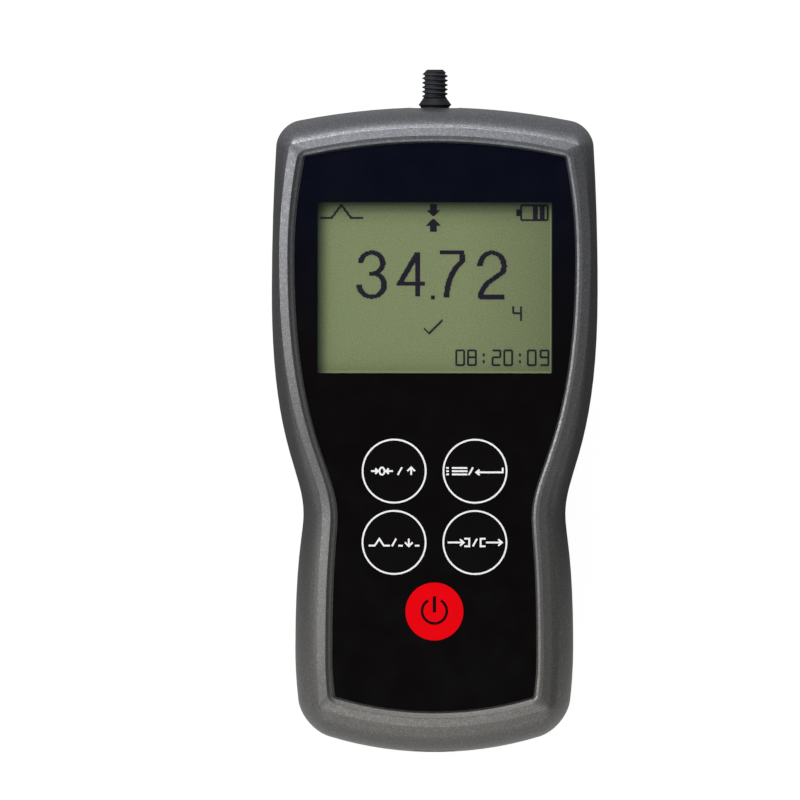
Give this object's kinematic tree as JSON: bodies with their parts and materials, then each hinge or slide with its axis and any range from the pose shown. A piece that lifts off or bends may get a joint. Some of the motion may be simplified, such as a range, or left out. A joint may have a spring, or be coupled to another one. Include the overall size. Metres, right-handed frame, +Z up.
{
  "type": "digital force gauge",
  "caption": "Handheld digital force gauge: waisted metal body, sunk black panel with display, round keys, and a threaded measuring stud at the upper end.",
  "frame": {"origin": "centre of the four mounting holes, on the back face", "axes": "+X across the gauge, +Y along it towards the measuring stud, +Z up through the display"},
  "size_m": [0.0732, 0.1534, 0.0355],
  "materials": {
    "housing_paint": "grainy metallic gunmetal paint over die-cast aluminium",
    "panel_black": "gloss black",
    "clear_pane": "clear, polished",
    "lcd_film": "grey-green reflective display",
    "light_guide": "diffusing white",
    "tin_plate": "satin tinned steel",
    "key_black": "gloss black",
    "key_red": "gloss red",
    "black_moulding": "fine matt",
    "white_moulding": "fine matt",
    "board_green": "solder mask, satin",
    "cell_alloy": "machined, satin",
    "gauge_foil": "etched foil on amber film",
    "black_oxide": "black oxide, satin",
    "zinc_steel": "zinc plated",
    "brass_insert": "turned",
    "battery_wrap": "printed-free coloured wrap over metal cans",
    "foam": "closed-cell foam"
  },
  "bodies": {
    "gauge_body": {"front_housing": "housing_paint", "rear_housing": "housing_paint", "panel_overlay": "panel_black", "display_window": "clear_pane", "lcd_glass": "lcd_film", "lcd_backlight": "light_guide", "lcd_frame": "tin_plate", "key_switches": "black_moulding", "main_board": "board_green", "board_chips": "black_moulding", "board_screws": "zinc_steel", "buzzer": "black_moulding", "data_socket": "tin_plate", "data_socket_core": "black_moulding", "load_cell": "cell_alloy", "strain_gauges": "gauge_foil", "shaft_bush": "black_moulding", "overload_stop": "zinc_steel", "cell_bracket": "zinc_steel", "cell_screws": "zinc_steel", "bracket_screws": "zinc_steel", "battery_holder": "black_moulding", "battery_cells": "battery_wrap", "battery_contacts": "tin_plate", "battery_pad": "foam", "case_screws": "zinc_steel", "mount_inserts": "brass_insert"},
    "zero_key": {"key_zero": "key_black", "actuator_zero": "white_moulding"},
    "menu_key": {"key_menu": "key_black", "actuator_menu": "white_moulding"},
    "peak_key": {"key_peak": "key_black", "actuator_peak": "white_moulding"},
    "send_key": {"key_send": "key_black", "actuator_send": "white_moulding"},
    "power_key": {"key_power": "key_red", "actuator_power": "white_moulding"},
    "shaft": {"measuring_shaft": "black_oxide"}
  },
  "joints": [
    {"name": "zero_key_press", "type": "slide", "parent": "gauge_body", "child": "zero_key", "axis": [0, 0, -1], "range_m": [0, 0.00035], "stiffness_N_per_m": 6000},
    {"name": "menu_key_press", "type": "slide", "parent": "gauge_body", "child": "menu_key", "axis": [0, 0, -1], "range_m": [0, 0.00035], "stiffness_N_per_m": 6000},
    {"name": "peak_key_press", "type": "slide", "parent": "gauge_body", "child": "peak_key", "axis": [0, 0, -1], "range_m": [0, 0.00035], "stiffness_N_per_m": 6000},
    {"name": "send_key_press", "type": "slide", "parent": "gauge_body", "child": "send_key", "axis": [0, 0, -1], "range_m": [0, 0.00035], "stiffness_N_per_m": 6000},
    {"name": "power_key_press", "type": "slide", "parent": "gauge_body", "child": "power_key", "axis": [0, 0, -1], "range_m": [0, 0.00035], "stiffness_N_per_m": 6000},
    {"name": "shaft_load", "type": "slide", "parent": "gauge_body", "child": "shaft", "axis": [0, 1, 0], "range_m": [-0.00025, 0.00025], "stiffness_N_per_m": 200000, "deforming": ["load_cell"]}
  ]
}
